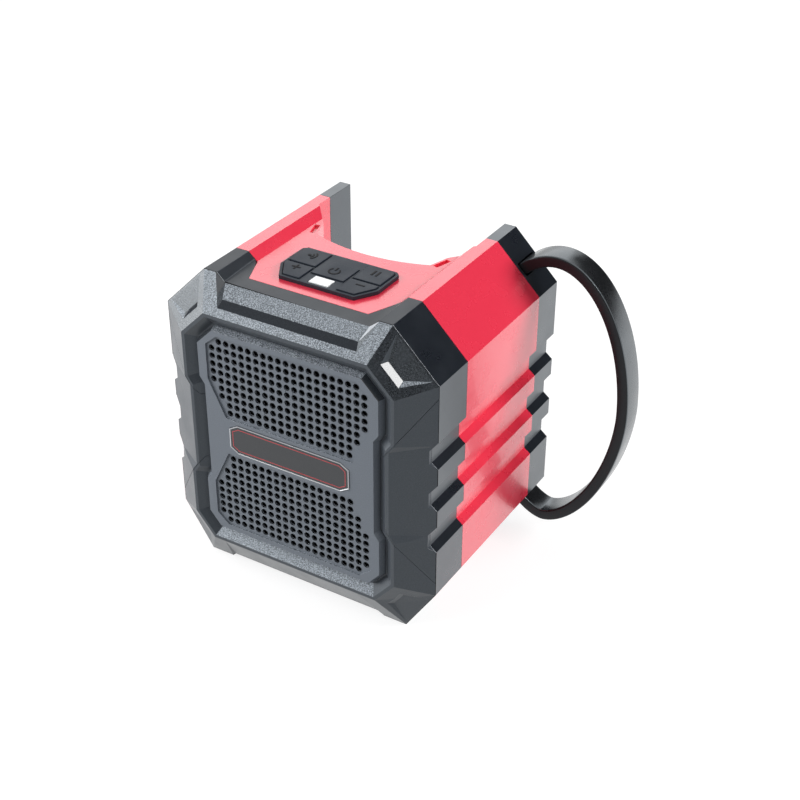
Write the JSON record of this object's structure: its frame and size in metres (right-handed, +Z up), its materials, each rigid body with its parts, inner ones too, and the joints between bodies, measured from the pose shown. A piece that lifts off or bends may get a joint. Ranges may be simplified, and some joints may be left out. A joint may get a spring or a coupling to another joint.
{
  "type": "cordless jobsite bluetooth speaker",
  "caption": "Cordless jobsite speaker: red housing with dark rubber bumpers, grey bezel and perforated grille, top keypad, rear battery bay and a side carry strap.",
  "frame": {"origin": "under the middle of the body, on the surface that the feet stand on", "axes": "+Z up, +Y from the grille towards the battery bay, +X to the right seen from the front, on the side of the strap"},
  "size_m": [0.186, 0.118, 0.155],
  "materials": {
    "red_shell": "satin",
    "bezel_grey": "satin with a fine spark texture",
    "bumper_dark": "satin",
    "key_rubber": "matte",
    "strap_rubber": "satin",
    "foot_rubber": "matte",
    "badge_dark": "satin",
    "scrim_cloth": "matte",
    "inner_plastic": "matte",
    "screw_steel": "plain",
    "board_green": "satin",
    "chip_black": "matte",
    "lens_white": "gloss",
    "basket_steel": "satin",
    "plate_steel": "plain",
    "cone_paper": "matte",
    "roll_rubber": "matte",
    "spider_cloth": "matte",
    "magnet_ferrite": "matte",
    "coil_copper": "plain",
    "contact_brass": "bright"
  },
  "bodies": {
    "body": {"front_bezel": "bezel_grey", "cheek_left": "bezel_grey", "cheek_right": "bezel_grey", "grille_panel": "bezel_grey", "grille_scrim": "scrim_cloth", "nameplate": "badge_dark", "baffle": "inner_plastic", "baffle_screws": "screw_steel", "front_bumper": "bumper_dark", "main_housing": "red_shell", "rear_bumper_left": "bumper_dark", "rear_bumper_right": "bumper_dark", "bumper_screws": "screw_steel", "rubber_feet": "foot_rubber", "carry_strap": "strap_rubber", "strap_pins": "screw_steel", "keypad_frame": "key_rubber", "status_lens": "lens_white", "control_board": "board_green", "tact_switches": "chip_black", "status_led": "lens_white", "board_screws": "screw_steel", "driver_gasket": "roll_rubber", "driver_basket": "basket_steel", "driver_surround": "roll_rubber", "driver_spider": "spider_cloth", "driver_top_plate": "plate_steel", "driver_magnet": "magnet_ferrite", "driver_back_plate": "plate_steel", "driver_screws": "screw_steel", "amplifier_board": "board_green", "amplifier_parts": "chip_black", "amplifier_screws": "screw_steel", "bay_liner": "red_shell", "battery_dock": "inner_plastic", "dock_screws": "screw_steel", "terminal_block": "inner_plastic", "contact_blades": "contact_brass"},
    "key_power": {"button_power": "key_rubber"},
    "key_mode": {"button_mode": "key_rubber"},
    "key_plus": {"button_plus": "key_rubber"},
    "key_pause": {"button_pause": "key_rubber"},
    "key_minus": {"button_minus": "key_rubber"},
    "cone": {"driver_cone": "cone_paper", "driver_dust_cap": "cone_paper", "voice_coil": "coil_copper"}
  },
  "joints": [
    {"name": "power_press", "type": "slide", "parent": "body", "child": "key_power", "axis": [0, 0, -1], "range_m": [0, 0.0008], "stiffness_N_per_m": 900},
    {"name": "mode_press", "type": "slide", "parent": "body", "child": "key_mode", "axis": [0, 0, -1], "range_m": [0, 0.0008], "stiffness_N_per_m": 900},
    {"name": "plus_press", "type": "slide", "parent": "body", "child": "key_plus", "axis": [0, 0, -1], "range_m": [0, 0.0008], "stiffness_N_per_m": 900},
    {"name": "pause_press", "type": "slide", "parent": "body", "child": "key_pause", "axis": [0, 0, -1], "range_m": [0, 0.0008], "stiffness_N_per_m": 900},
    {"name": "minus_press", "type": "slide", "parent": "body", "child": "key_minus", "axis": [0, 0, -1], "range_m": [0, 0.0008], "stiffness_N_per_m": 900},
    {"name": "cone_stroke", "type": "slide", "parent": "body", "child": "cone", "axis": [0, -1, 0], "range_m": [-0.0015, 0.0015], "stiffness_N_per_m": 2500, "deforming": ["driver_surround", "driver_spider"]}
  ]
}
